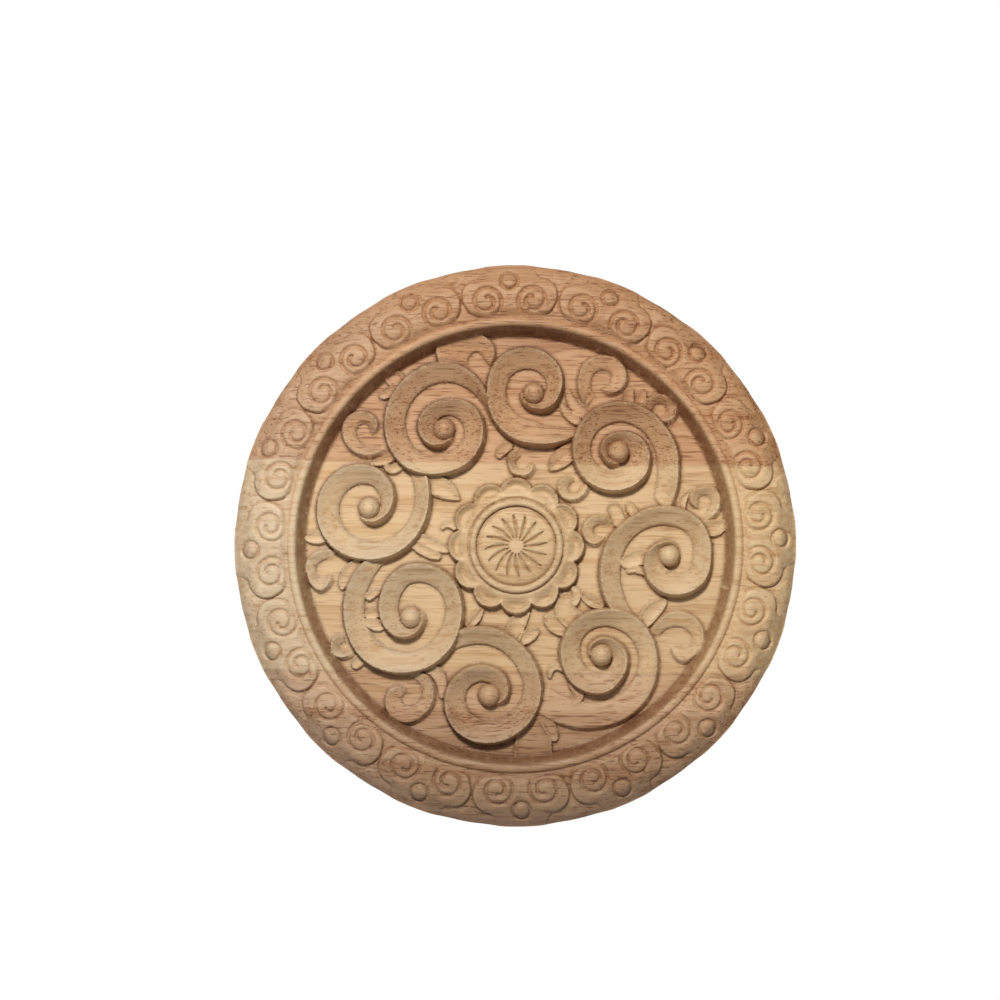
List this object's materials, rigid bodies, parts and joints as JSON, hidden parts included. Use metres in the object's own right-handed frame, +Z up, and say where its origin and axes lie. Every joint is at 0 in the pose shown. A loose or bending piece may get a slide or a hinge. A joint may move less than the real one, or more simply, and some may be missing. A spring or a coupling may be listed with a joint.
{
  "type": "round carved wooden applique",
  "caption": "Round carved wooden applique with a ring of spiral scrolls about a petalled rosette, in a sunken field with an ornate bead-and-cloud rim.",
  "frame": {"origin": "centre of the flat back face, which is glued or screwed to a door, wall or piece of furniture", "axes": "+Z up as the carving is seen, +X to the right of someone who faces the carving, +Y out of the back face into what carries it, so the carving faces -Y"},
  "size_m": [0.3, 0.0245, 0.3],
  "materials": {
    "rubberwood": "bare sanded, unfinished"
  },
  "bodies": {
    "root": {"carved_roundel": "rubberwood"}
  },
  "joints": []
}
